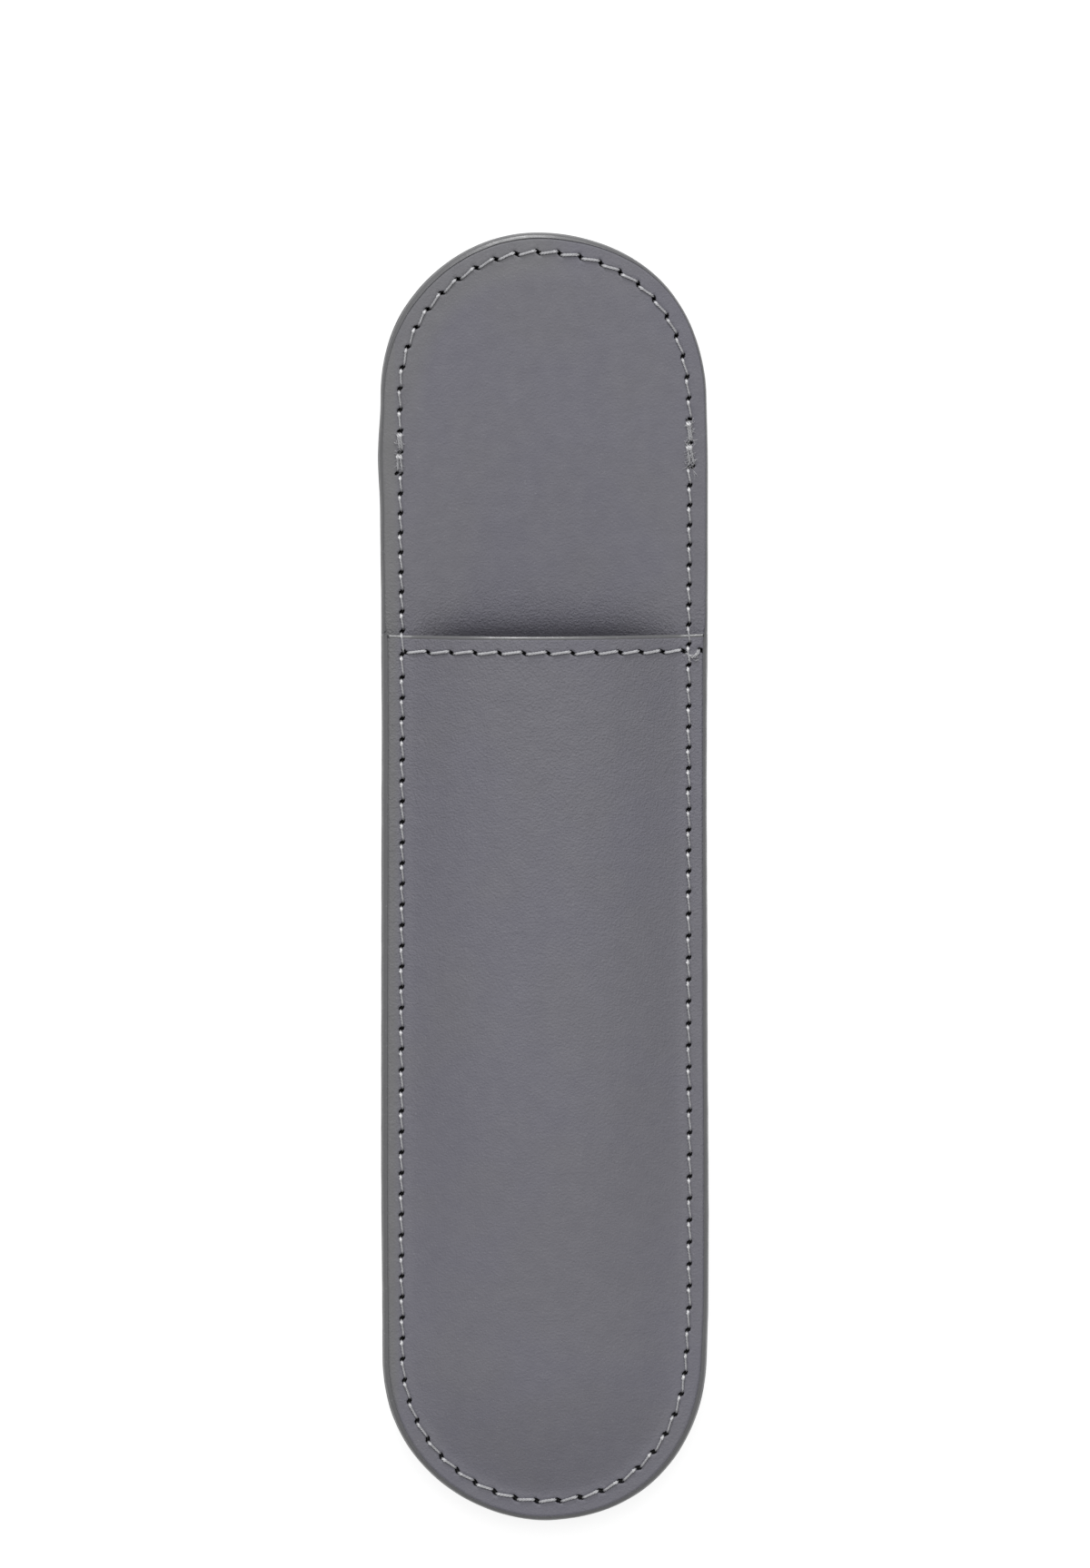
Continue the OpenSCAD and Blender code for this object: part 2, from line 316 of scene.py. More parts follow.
def lap_shift(count, ends):
    """Sideways step of each hole: the lapped stitches at both ends lie beside the others."""
    shift = np.zeros(count)
    shift[:LAP_COUNT + 1] = ends
    shift[-LAP_COUNT - 1:] = ends[::-1]
    return shift


class Seam:
    """A row of slits and the stitches between them, on one side of the sleeve."""

    def __init__(self, holes, slit_way, slit_half, starts, ends):
        self.holes = holes
        self.slit_way = slit_way
        self.slit_half = slit_half
        self.starts = starts
        self.ends = ends

    def slits(self):
        """Each slit's middle, its direction, the direction across it, and its half length and width."""
        for hole, way, half in zip(self.holes, self.slit_way, self.slit_half):
            yield hole, way, np.array([-way[1], way[0]]), half

    def where(self, keep):
        """The part of the seam whose holes, and both ends of whose stitches, keep() accepts."""
        kept = keep(self.holes)
        both = keep(self.starts) & keep(self.ends)
        return Seam(self.holes[kept], self.slit_way[kept], self.slit_half[kept],
                    self.starts[both], self.ends[both])


def sewn(holes, way, out, slit_turn):
    """A seam through the holes. Its stitches run from a slit's inner end to the next one's outer end."""
    slit_way = np.cos(slit_turn)[:, None] * way - np.sin(slit_turn)[:, None] * out
    up = out[:, 1]
    half_l = SLIT_HALF_L + SLIT_HALF_L_ENDS * np.square(up)
    half_w = SLIT_HALF_W + SLIT_HALF_W_UP * up
    reach = SLIT_REACH * half_l[:, None] * slit_way
    return Seam(holes, slit_way, np.column_stack([half_l, half_w]), (holes + reach)[:-1], (holes - reach)[1:])


def edge_seam(stations, shift, slit_turn=SLIT_TURN, turn_up=SLIT_TURN_UP):
    points, way, out = along(np.array(stations), SEAM_R)
    seam = sewn(points + out * shift[:, None], way, out, slit_turn + turn_up * out[:, 1])
    for lap in (slice(0, LAP_COUNT + 1), slice(-LAP_COUNT - 1, None)):
        seam.slit_half[lap] *= LAP_SLIT
    return seam


tongue_shift = lap_shift(len(TONGUE_STATIONS), TONGUE_LAP_SHIFT)
pocket_shift = lap_shift(len(POCKET_STATIONS), POCKET_LAP_SHIFT)
tongue_seam = edge_seam(TONGUE_STATIONS, tongue_shift)
pocket_seam = edge_seam(POCKET_STATIONS, pocket_shift)
mouth_holes = np.array([[x, MOUTH_ROW_Y + mouth_line(x) - MOUTH_Y] for x in MOUTH_XS])
mouth_count = len(mouth_holes)
mouth_way = np.tile([1.0, 0.0], (mouth_count, 1))
mouth_out = np.tile([0.0, 1.0], (mouth_count, 1))
mouth_seam = sewn(mouth_holes, mouth_way, mouth_out, np.full(mouth_count, MOUTH_SLIT_TURN))


def on_pocket(xy):
    return xy[:, 1] < mouth_line(xy[:, 0])


def on_tongue(xy):
    return ~on_pocket(xy)


# The painted bead is narrower along the tongue's sides, and on the right up to near the top
NARROW_AT = [left_at(28.5), left_at(30.5), 57, 70, 89, 101,
             right_at(30.5), right_at(28.5)]
NARROW_SHARE = [0, 1, 1, 0, 0, 1, 1, 0]


def narrowed(station):
    return np.interp(np.mod(station, SEAM_LOOP), NARROW_AT, NARROW_SHARE)


# The top ply is creased along the painted bead: inset and depth of the crease, what the outward direction
# and the narrow bead add to them, and the fall from the crease to the paint
CREASE_INSET = 0.64
INSET_TO_RIGHT = -0.05
INSET_TO_TOP = 0.08
INSET_AT_ENDS = -0.03
INSET_NARROWED = -0.27
CREASE_DEPTH = 0.10
DEPTH_TO_TOP = 0.04
DEPTH_NARROWED = -0.5
CREASE_RUN = 0.11
PAINT_FALL = 0.16
PAINT_FALL_RUN = 0.13


def crease_inset(station):
    turn = np.interp(np.mod(station, SEAM_LOOP), CORNERS, CORNER_TURN)
    up = np.sin(turn)
    return (CREASE_INSET + INSET_TO_RIGHT * np.cos(turn) + INSET_TO_TOP * up + INSET_AT_ENDS * np.square(up)
            + INSET_NARROWED * narrowed(station))


def crease_depth(xy):
    station, d, out = place_of(xy)
    inside = END_R - d - crease_inset(station)
    up = np.where(np.abs(xy[:, 1]) > END_Y, out[:, 1], 0)
    deep = (CREASE_DEPTH + DEPTH_TO_TOP * up) * (1 + DEPTH_NARROWED * narrowed(station))
    beyond = deep + PAINT_FALL * smooth(-inside / PAINT_FALL_RUN)
    return np.where(inside > 0, deep * bump(inside / CREASE_RUN), beyond)


# Round a slit, in shares of its size: the rims of the pit and of its painted shade, the run of both, and the
# dimple
PIT_RIM = 1.12
PAINTED_SHADE_RIM = 1.22
RIM_RUN = 0.3
DIMPLE_RIM = 2.0
DIMPLE_RIM_RUN = 0.6
# In millimetres: the dimple and its raised rim, and the groove under a stitch and its rim
DIMPLE_DEPTH = 0.07
DIMPLE_RISE = 0.04
GROOVE_DEPTH = 0.05
GROOVE_RUN = 0.22
GROOVE_RISE = 0.015
GROOVE_RIM = 0.5
GROOVE_RIM_RUN = 0.2


def seam_relief(xy, seams):
    """Depth below the smooth leather near slits and pulled threads, and the painted shade that darkens the
    slits.
    """
    depth = np.zeros(len(xy))
    painted_shading = np.zeros(len(xy))
    for seam in seams:
        for hole, way, side, half in seam.slits():
            near = np.flatnonzero(np.abs(xy - hole).max(1) < 1.6)
            local = xy[near] - hole
            q = np.hypot(local @ way / half[0], local @ side / half[1])
            pit = SLIT_DEPTH * smooth((PIT_RIM - q) / RIM_RUN)
            dimple = DIMPLE_DEPTH * bump(q / DIMPLE_RIM)
            dimple -= DIMPLE_RISE * bump((q - DIMPLE_RIM) / DIMPLE_RIM_RUN)
            depth[near] = np.maximum(depth[near], pit) + dimple
            # Painted shade: the slit, and a little of the leather round it, is darkened
            painted_shading[near] = np.maximum(painted_shading[near], smooth((PAINTED_SHADE_RIM - q) / RIM_RUN))
        for a, b in zip(seam.starts, seam.ends):
            near = np.flatnonzero(np.abs(xy - (a + b) / 2).max(1) < 2.6)
            ab = b - a
            t = np.clip((xy[near] - a) @ ab / (ab @ ab), 0, 1)
            away = xy[near] - a - t[:, None] * ab
            d = np.linalg.norm(away, axis=1)
            rise = GROOVE_RISE * bump((d - GROOVE_RIM) / GROOVE_RIM_RUN)
            depth[near] += GROOVE_DEPTH * bump(d / GROOVE_RUN) - rise
    return depth, painted_shading


# Points of the meshes: rings round a slit (share of its size, count) and rows along a stitch
SLIT_RINGS = ((0.0, 1), (0.5, 8), (0.82, 12), (1.0, 14), (1.15, 14), (1.45, 14), (2.0, 14), (2.8, 12))
GROOVE_ROWS = (0, -0.14, 0.14, -0.23, 0.23, -0.33, 0.33, -0.5, 0.5, -0.75, 0.75)
GROOVE_COUNT = 11


def slit_points(seam):
    found = []
    for hole, way, side, half in seam.slits():
        for q, count in SLIT_RINGS:
            for k in range(count):
                a = 2 * math.pi * (k + 0.5) / count
                found.append(hole + q * (half[0] * math.cos(a) * way + half[1] * math.sin(a) * side))
    return found


def groove_points(seam):
    """Rows of points along the stitches and beside them."""
    found = []
    for a, b in zip(seam.starts, seam.ends):
        ab = b - a
        side = np.array([-ab[1], ab[0]]) / np.linalg.norm(ab)
        for t in np.linspace(0, 1, GROOVE_COUNT):
            for v in GROOVE_ROWS:
                found.append(a + t * ab + v * side)
    return found


def grid_points(r, spacing):
    """Staggered grid of even triangles inside the outline with end radius r."""
    found = []
    rows = int((END_Y + r) / (spacing * 0.866))
    for j in range(-rows, rows + 1):
        y = j * spacing * 0.866
        beyond = max(0.0, abs(y) - END_Y)
        if beyond >= r:
            continue
        half = math.sqrt(r * r - beyond * beyond)
        offset = 0.5 * spacing * (j % 2)
        for i in range(-int(half / spacing) - 1, int(half / spacing) + 2):
            x = i * spacing + offset
            if abs(x) <= half:
                found.append(np.array([x, y]))
    return found


def spaced(layers):
    """Points of all layers that their keep() accepts, without those too near to an earlier layer."""
    kept = []
    for points, gap, keep in layers:
        points = np.array(points)
        points = points[keep(points)]
        if kept:
            tree = KDTree(len(kept))
            for i, p in enumerate(kept):
                tree.insert((*p, 0), i)
            tree.balance()
            points = [p for p in points if tree.find((*p, 0))[2] > gap]
        kept.extend(points)
    return np.array(kept)


def within(r, y_low=-math.inf, y_high=math.inf):
    """Accepts the points inside the outline with end radius r, between two heights on the sleeve."""
    def keep(xy):
        d = np.hypot(xy[:, 0], xy[:, 1] - np.clip(xy[:, 1], -END_Y, END_Y))
        return (d < r) & (xy[:, 1] > y_low) & (xy[:, 1] < y_high)
    return keep


def below_mouth(r, gap):
    """Accepts the points of the pocket inside end radius r, at least gap from its mouth."""
    inside = within(r)
    return lambda xy: inside(xy) & (xy[:, 1] < mouth_line(xy[:, 0]) - gap)


def triangulate(loop, inner):
    """Points, triangles, and the numbers of the loop's own points in them."""
    points = [Vector(p) for p in np.concatenate([loop, inner])]
    count = len(loop)
    edges = [(i, (i + 1) % count) for i in range(count)]
    flat, _, faces, source, _, _ = delaunay_2d_cdt(points, edges, [], 1, 1e-6)
    number = {}
    for i, group in enumerate(source):
        for original in group:
            number[original] = i
    return np.array([tuple(p) for p in flat]), [tuple(f) for f in faces], [number[i] for i in range(count)]


def volume(points, faces):
    """Volume inside the faces, negative if they face inwards."""
    total = 0.0
    for face in faces:
        for i in range(1, len(face) - 1):
            total += np.dot(points[face[0]], np.cross(points[face[i]], points[face[i + 1]]))
    return total / 6


def placed(name, data):
    made = bpy.data.objects.new(name, data)
    bpy.context.scene.collection.objects.link(made)
    return made


def new_object(name, points, faces, material, painted_shading=None):
    """A smooth mesh object in metres, moved to the hand-cut outline, with its faces outwards."""
    points = np.array(points, float)
    points[:, :2] = hand_cut(points[:, :2])
    if volume(points, faces) < 0:
        faces = [tuple(reversed(f)) for f in faces]
    mesh = bpy.data.meshes.new(name)
    mesh.from_pydata((points * MM).tolist(), [], faces)
    mesh.validate()
    mesh.shade_smooth()
    mesh.set_sharp_from_angle(angle=math.radians(50))
    # The painted shade and highlight go on the mesh, for the materials to read
    if painted_shading is not None:
        mesh.attributes.new("painted_shading", "FLOAT", "POINT").data.foreach_set("value", painted_shading.astype(np.float32))
    mesh.materials.append(material)
    return placed(name, mesh)


def ply(name, loop, upper, lower, material):
    """A closed sheet of leather. upper and lower are each (inner points, function of the height)."""
    parts = []
    for inner, height in (upper, lower):
        flat, faces, rim = triangulate(loop, inner)
        z, painted_shading = height(flat)
        parts.append((np.column_stack([flat, z]), faces, rim, painted_shading))
    (top, top_faces, top_rim, top_dark), (under, under_faces, under_rim, under_dark) = parts
    base = len(top)
    faces = list(top_faces)
    faces += [tuple(base + i for i in reversed(f)) for f in under_faces]
    count = len(loop)
    for i in range(count):
        j = (i + 1) % count
        faces.append((top_rim[i], top_rim[j], base + under_rim[j], base + under_rim[i]))
    painted_shading = np.concatenate([top_dark, under_dark])
    return new_object(name, np.concatenate([top, under]), faces, material, painted_shading)


def plain(lift, z):
    """Height function of a hidden face."""
    return lambda xy: (z + lift(xy), np.zeros(len(xy)))


# Materials
def colour(r, g, b):
    """A colour written as the eye sees it, 0 to 255, as the linear one that nodes take."""
    parts = [c / 255 for c in (r, g, b)]
    return tuple(c / 12.92 if c < 0.04045 else ((c + 0.055) / 1.055) ** 2.4 for c in parts) + (1.0,)


def grey(level):
    return (level, level, level, 1)


def new_material(name):
    material = bpy.data.materials.new(name)
    material.use_nodes = True
    return material, material.node_tree


def node(tree, kind, inputs, **settings):
    """Adds a shader node with its settings. An input is a value or another node's output."""
    made = tree.nodes.new("ShaderNode" + kind)
    for key, value in settings.items():
        setattr(made, key, value)
    for key, value in inputs.items():
        if isinstance(value, bpy.types.NodeSocket):
            tree.links.new(value, made.inputs[key])
        else:
            made.inputs[key].default_value = value
    return made


def object_place(tree, stretched=(1, 1, 1)):
    """Object coordinates, in metres, stretched along the axes."""
    place = node(tree, "TexCoord", {}).outputs["Object"]
    return node(tree, "Mapping", {"Vector": place, "Scale": stretched}).outputs["Vector"]


def noise(tree, place, size, detail=2.0, roughness=0.5):
    """Noise whose grains are about size millimetres wide."""
    inputs = {"Vector": place, "Scale": 1 / (size * MM), "Detail": detail, "Roughness": roughness}
    return node(tree, "TexNoise", inputs).outputs["Fac"]


def remap(tree, value, low, high, to_low=0.0, to_high=1.0):
    inputs = {"Value": value, "From Min": low, "From Max": high, "To Min": to_low, "To Max": to_high}
    return node(tree, "MapRange", inputs).outputs["Result"]


def mixed(tree, factor, a, b):
    """Colour a where factor is 0 and b where it is 1."""
    made = node(tree, "Mix", {"Factor": factor}, data_type="RGBA")
    for socket, value in ((made.inputs[6], a), (made.inputs[7], b)):
        if isinstance(value, bpy.types.NodeSocket):
            tree.links.new(value, socket)
        else:
            socket.default_value = value
    return made.outputs[2]


def math_node(tree, operation, a, b):
    return node(tree, "Math", {0: a, 1: b}, operation=operation).outputs["Value"]


def patches(tree, place, size, detail, low, high, to_low=0.0, to_high=1.0):
    """Noise spread from to_low, where it is at most low, to to_high, where it is at least high."""
    return remap(tree, noise(tree, place, size, detail), low, high, to_low, to_high)


def painted_shading_attribute(tree):
    """The painted shade, and on the threads the painted highlight, that a mesh carries."""
    return node(tree, "Attribute", {}, attribute_name="painted_shading").outputs["Fac"]


def finished(material, base, normal, rough, specular=0.5):
    inputs = material.node_tree.nodes["Principled BSDF"].inputs
    for socket, value in (("Base Color", base), ("Normal", normal), ("Roughness", rough)):
        material.node_tree.links.new(value, inputs[socket])
    inputs["Specular IOR Level"].default_value = specular
    return material


def ray_seen(tree):
    """1 for what the camera, a reflection or clear material sees, 0 for light on its way."""
    path = node(tree, "LightPath", {})
    seen = math_node(tree, "MAXIMUM", path.outputs["Is Camera Ray"], path.outputs["Is Glossy Ray"])
    return math_node(tree, "MAXIMUM", seen, path.outputs["Is Transmission Ray"])


def bumped(tree, height, depth, normal=None):
    """Normal of a surface whose height map is depth deep: millimetres, or a node's output in metres."""
    distance = depth if isinstance(depth, bpy.types.NodeSocket) else depth * MM
    inputs = {"Height": height, "Distance": distance, "Strength": 1.0}
    if normal is not None:
        inputs["Normal"] = normal
    return node(tree, "Bump", inputs).outputs["Normal"]


# Leather. Size of its pebbles, and depth of its grain and of its wrinkles
PEBBLE = 0.27
GRAIN_DEPTH = 0.030
WRINKLE_DEPTH = 0.018
# It is less purple at the left margin, and along the tip's to a little right of the middle: where the tint
# starts, the run over which it grows, and its share
LESS_PURPLE = colour(111, 111, 111)
LEFT_X = -17.3
LEFT_RUN = 1
LEFT_SHARE = 0.8
TIP_R = 14.0
TIP_R_RUN = 2
TIP_SHARE = 0.5
TIP_X = 4.0
TIP_X_RUN = 4
TIP_FROM_Y = END_Y - 8
TIP_TO_Y = END_Y + 2


def less_purple(tree, axes):
    """Share of the tint at each place."""
    left = remap(tree, axes["X"], LEFT_X * MM, (LEFT_X - LEFT_RUN) * MM, 0.0, LEFT_SHARE)
    away = node(tree, "VectorMath", {0: object_place(tree, (1, 1, 0)), 1: (0, END_Y * MM, 0)},
                operation="DISTANCE").outputs["Value"]
    tip = math_node(tree, "MULTIPLY", remap(tree, away, TIP_R * MM, (TIP_R + TIP_R_RUN) * MM, 0.0, TIP_SHARE),
                    remap(tree, axes["X"], TIP_X * MM, (TIP_X - TIP_X_RUN) * MM))
    tip = math_node(tree, "MULTIPLY", tip, remap(tree, axes["Y"], TIP_FROM_Y * MM, TIP_TO_Y * MM))
    return math_node(tree, "MAXIMUM", left, tip)


def leather_material(name, main, neutral, grain_depth=1.0, worked_grain=1.3, worked_run=11.0):
    """Smooth full-grain leather: fine pebbles, pale flecks, faint creases, and needle slits darkened with
    painted shade.

    At the mouth, where the leather is worked, the grain is worked_grain times as deep. That fades out over
    worked_run millimetres.
    """
    material, tree = new_material(name)
    place = object_place(tree)
    axes = node(tree, "SeparateXYZ", {"Vector": place}).outputs
    base = mixed(tree, patches(tree, place, 14, 3, 0.42, 0.6), main, neutral)
    base = mixed(tree, less_purple(tree, axes), base, LESS_PURPLE)
    mottle = patches(tree, place, 1.6, 3, 0.35, 0.65)
    base = mixed(tree, remap(tree, mottle, 0, 1, 0.0, 0.06), base, colour(150, 149, 154))
    fleck = patches(tree, place, 0.24, 2, 0.66, 0.74, 0.0, 0.22)
    base = mixed(tree, fleck, base, colour(160, 160, 164))
    # Painted shade: near black in the needle slits, where the mesh says
    base = mixed(tree, painted_shading_attribute(tree), base, colour(14, 14, 16))
    pebbles = node(tree, "TexVoronoi", {"Vector": place, "Scale": 1 / (PEBBLE * MM)},
                   feature="SMOOTH_F1").outputs["Distance"]
    from_mouth = math_node(tree, "ABSOLUTE", math_node(tree, "SUBTRACT", axes["Y"], MOUTH_Y * MM), 0.0)
    depth = grain_depth * GRAIN_DEPTH * MM
    depth = remap(tree, from_mouth, worked_run * MM, 0.0, depth, worked_grain * depth)
    grain = bumped(tree, pebbles, depth)
    grain = bumped(tree, noise(tree, place, 0.17, 2, 0.6), depth, grain)
    wrinkles = noise(tree, object_place(tree, (0.4, 1, 1)), 0.8, 3, 0.6)
    grain = bumped(tree, wrinkles, WRINKLE_DEPTH, grain)
    rough = patches(tree, place, 2.5, 2, 0.3, 0.7, 0.52, 0.62)
    return finished(material, base, grain, rough, 0.38)


def paint_material(name, main):
    """Edge paint: satin, built up in a few coats that did not level out quite."""
    material, tree = new_material(name)
    place = object_place(tree)
    patch = patches(tree, place, 3.0, 3, 0.35, 0.65, 0.0, 0.16)
    base = mixed(tree, patch, main, colour(78, 78, 81))
    speck = patches(tree, place, 0.35, 2, 0.64, 0.72, 0.0, 0.25)
    base = mixed(tree, speck, base, colour(150, 150, 154))
    waves = bumped(tree, noise(tree, place, 0.9, 2), 0.02)
    waves = bumped(tree, noise(tree, place, 0.25, 3), 0.007, waves)
    rough = patches(tree, place, 1.5, 2, 0.3, 0.7, 0.27, 0.37)
    return finished(material, base, waves, rough, 0.65)


def thread_material(name, main, shade):
    """Bonded thread: pale, with a low shine and darker fibres. A mesh's painted shading darkens it with
    painted shade, or below 0 pales it with a painted highlight.
    """
    material, tree = new_material(name)
    place = object_place(tree)
    fibre = patches(tree, place, 0.12, 3, 0.35, 0.65)
    tone = patches(tree, place, 2.0, 2, 0.35, 0.65, 0.0, 0.5)
    base = mixed(tree, math_node(tree, "MULTIPLY", fibre, tone), main, shade)
    painted_shading = painted_shading_attribute(tree)
    # Painted shade from the mesh, and below 0 a painted highlight
    base = mixed(tree, remap(tree, painted_shading, 0, 1), base, colour(70, 70, 73))
    base = mixed(tree, remap(tree, painted_shading, 0, -1), base, colour(245, 245, 246))
    fuzz = bumped(tree, noise(tree, place, 0.07, 2), 0.006)
    return finished(material, base, fuzz, remap(tree, fibre, 0, 1, 0.34, 0.46))


def board_material(name):
    """Bonded leather board: pressed brown fibres."""
    material, tree = new_material(name)
    fibres = noise(tree, object_place(tree, (1, 0.3, 1)), 0.5, 4, 0.65)
    base = mixed(tree, remap(tree, fibres, 0.35, 0.65), colour(171, 152, 126), colour(128, 108, 84))
    rough = patches(tree, object_place(tree), 2, 2, 0.3, 0.7, 0.75, 0.9)
    return finished(material, base, bumped(tree, fibres, 0.05), rough)


front_leather = leather_material("front_leather", colour(109, 108, 117), colour(110, 109, 116),
                                 grain_depth=1.17, worked_grain=2.3, worked_run=70.0)
facing_leather = leather_material("facing_leather", colour(105, 104, 113), colour(106, 105, 112),
                                  grain_depth=1.05, worked_grain=3.0, worked_run=8.0)
back_leather = leather_material("back_leather", colour(109, 108, 117), colour(110, 110, 115))
lining_leather = leather_material("lining_leather", colour(96, 95, 100), colour(92, 92, 94))
edge_paint = paint_material("satin_edge_paint", colour(93, 93, 95))
pressed_board = board_material("pressed_board")
thread = thread_material("bonded_thread", colour(196, 196, 199), colour(118, 118, 121))

# Plies. Steps along their rims, and rows of points in the creased margin and beside the seam
LOOP_STEP = 0.5
CREASE_OFFSETS = (-0.05, 0.0, 0.04, 0.08, 0.12, 0.17, 0.24, 0.36, 0.6)
BAND_OFFSETS = (-1.5, -1.1, 1.0)
BAND_STEP = 0.6
MOUTH_POINTS = 110
# Points keep this far from the rim, and this far from the points of earlier layers
RIM_GAP = 0.05
SLIT_GAP = 0.05
GROOVE_GAP = 0.09
CREASE_GAP = 0.04
GRID_GAP = 0.3
GRID_INSET = 1.6
FRONT_STEP = 0.8
BACK_STEP = 1.1
# Where no one sees them, the points lie further apart
COARSE_STEP = 2.5
COARSE_GAP = 1.0
COARSE_R = PLY_R - 1


def loop_stations(step):
    """Stations round the whole seam."""
    count = int(SEAM_LOOP / step)
    return np.arange(count) * SEAM_LOOP / count


def outline_loop(r, step=LOOP_STEP):
    return along(loop_stations(step), r)[0]


def pocket_loop():
    """Rim of a pocket ply: down the right side, round the foot, up the left, and along the mouth."""
    first = right_at(mouth_line(PLY_R) - MOUTH_PAINT)
    last = SEAM_LOOP + mouth_line(-PLY_R) - MOUTH_PAINT
    around = along(np.linspace(first, last, int((last - first) / LOOP_STEP)), PLY_R)[0]
    x = np.linspace(-PLY_R, PLY_R, MOUTH_POINTS)[1:-1]
    return np.concatenate([around, np.column_stack([x, mouth_line(x) - MOUTH_PAINT])])


def edge_rings():
    """Points in the creased margin, in rows that follow the crease."""
    stations = loop_stations(LOOP_STEP)
    crease_r = END_R - crease_inset(stations)
    return [p for offset in CREASE_OFFSETS for p in along(stations, crease_r - offset)[0]]


def band_rings():
    return [p for offset in BAND_OFFSETS for p in outline_loop(SEAM_R + offset, BAND_STEP)]


def fine_layers(seams, inner_step, keep_of):
    """Layers of points for a face that shows. keep_of(r) accepts those of its area inside radius r."""
    inside = keep_of(PLY_R - RIM_GAP)
    layers = [(slit_points(s), SLIT_GAP, inside) for s in seams]
    layers += [(groove_points(s), GROOVE_GAP, inside) for s in seams]
    layers.append((edge_rings(), CREASE_GAP, inside))
    layers.append((band_rings(), GRID_GAP, inside))
    layers.append((grid_points(SEAM_R - GRID_INSET, inner_step), GRID_GAP, inside))
    return layers


def coarse_layer(keep):
    return (grid_points(COARSE_R, COARSE_STEP), COARSE_GAP, keep)


# On the back the slits lie almost in line with the seams
BACK_SLIT_TURN = math.radians(-14)
back_tongue_seam = edge_seam(TONGUE_STATIONS, tongue_shift, BACK_SLIT_TURN, 0)
back_pocket_seam = edge_seam(POCKET_STATIONS, pocket_shift, BACK_SLIT_TURN, 0)

# Rows across the turn of the tongue
TURN_OFFSETS = (-0.6, -0.3, -0.1, 0.1, 0.3, 0.5, 0.75, 1.0, 1.3, 1.65, 2.05, 2.5, 3.0, 3.6, 4.3, 5.1)
TURN_XS = np.linspace(1 - SEAM_R, SEAM_R - 1, 55)
TURN_ROWS = [(x, MOUTH_Y + offset) for offset in TURN_OFFSETS for x in TURN_XS]
TURN_LAYER = (TURN_ROWS, SLIT_GAP, within(SEAM_R - 0.6))


def hidden_points():
    """Points of a face that no one sees, close together only at the turn of the tongue."""
    return spaced([TURN_LAYER, coarse_layer(within(COARSE_R))])


# Below the mouth the facing's top is hidden, and its crease ends
FACING_HIDDEN = 1.5
CREASE_END = 0.3


def made_facing():
    seams = [tongue_seam, pocket_seam.where(on_tongue)]
    hidden_y = MOUTH_Y - FACING_HIDDEN

    def height(xy):
        depth, painted_shading = seam_relief(xy, seams)
        crease = crease_depth(xy) * smooth((xy[:, 1] - MOUTH_Y + CREASE_END) / (2 * CREASE_END))
        return tongue_skin(xy) - depth - crease, painted_shading

    upper = spaced([TURN_LAYER] + fine_layers(seams, FRONT_STEP, lambda r: within(r, y_low=hidden_y))
                   + [coarse_layer(within(COARSE_R, y_high=hidden_y - 1))])
    lower = (hidden_points(), plain(back_lift, FACING_Z))
    return ply("facing_leather_sheet", outline_loop(PLY_R), (upper, height), lower, facing_leather)


# Along the mouth the panel is creased a little at the paint, and has its own rows of points
RIM_CREASE = 0.03
RIM_CREASE_RUN = 0.1
RIM_ROW_GAPS = (0.05, 0.1, 0.17, 0.26, 0.4)
RIM_XS = np.linspace(-PLY_R + 0.3, PLY_R - 0.3, 130)
RIM_KEEP = MOUTH_PAINT + 0.03


def made_panel():
    seams = [pocket_seam.where(on_pocket), mouth_seam]

    def height(xy):
        depth, painted_shading = seam_relief(xy, seams)
        to_rim = mouth_line(xy[:, 0]) - MOUTH_PAINT - xy[:, 1]
        crease = np.maximum(crease_depth(xy), RIM_CREASE * bump(to_rim / RIM_CREASE_RUN))
        return pocket_skin(xy) - depth - crease, painted_shading

    rows = [np.array([x, mouth_line(x) - MOUTH_PAINT - gap]) for gap in RIM_ROW_GAPS for x in RIM_XS]
    upper = spaced(fine_layers(seams, FRONT_STEP, lambda r: below_mouth(r, RIM_KEEP))
                   + [(rows, CREASE_GAP, below_mouth(PLY_R - RIM_GAP, RIM_KEEP))])
    lower = (spaced([coarse_layer(below_mouth(COARSE_R, 1.5))]), plain(front_lift, PANEL_Z))
    return ply("pocket_leather_sheet", pocket_loop(), (upper, height), lower, front_leather)


def made_lining():
    r = PLY_R - 0.6
    inner = spaced([(grid_points(r, 1.6), 0.5, below_mouth(r, 1.2))])
    faces = [(inner, plain(front_lift, z)) for z in (PANEL_Z, TONGUE_Z)]
    return ply("pocket_lining_sheet", pocket_loop(), *faces, lining_leather)


def made_back():
    seams = [back_tongue_seam, back_pocket_seam]

    def height(xy):
        depth, painted_shading = seam_relief(xy, seams)
        return back_skin(xy) + depth + crease_depth(xy), painted_shading

    lower = spaced(fine_layers(seams, BACK_STEP, within))
    upper = (hidden_points(), plain(back_lift, BOARD_Z))
    return ply("back_leather_sheet", outline_loop(PLY_R), upper, (lower, height), back_leather)


def made_board():
    inner = hidden_points()
    faces = [(inner, plain(back_lift, z)) for z in (FACING_Z, BOARD_Z)]
    return ply("pressed_board_sheet", outline_loop(PLY_R), *faces, pressed_board)


facing_sheet = made_facing()
pocket_sheet = made_panel()
lining_sheet = made_lining()
back_sheet = made_back()
board_sheet = made_board()


# Painted edges: how many waves go round the sleeve or along the mouth
EDGE_WAVES = (23, 31, 47, 61, 83, 109)
MOUTH_WAVES = (19, 37, 59, 97)


def wobble(stations, size, waves=EDGE_WAVES):
    """Uneven line round the sleeve, that strays by about size."""
    total = np.zeros(len(stations))
    for n in waves:
        total += random.uniform(0.5, 1) * np.sin(2 * math.pi * (n * stations / SEAM_LOOP + random.random()))
    return size * total / math.sqrt(len(waves))


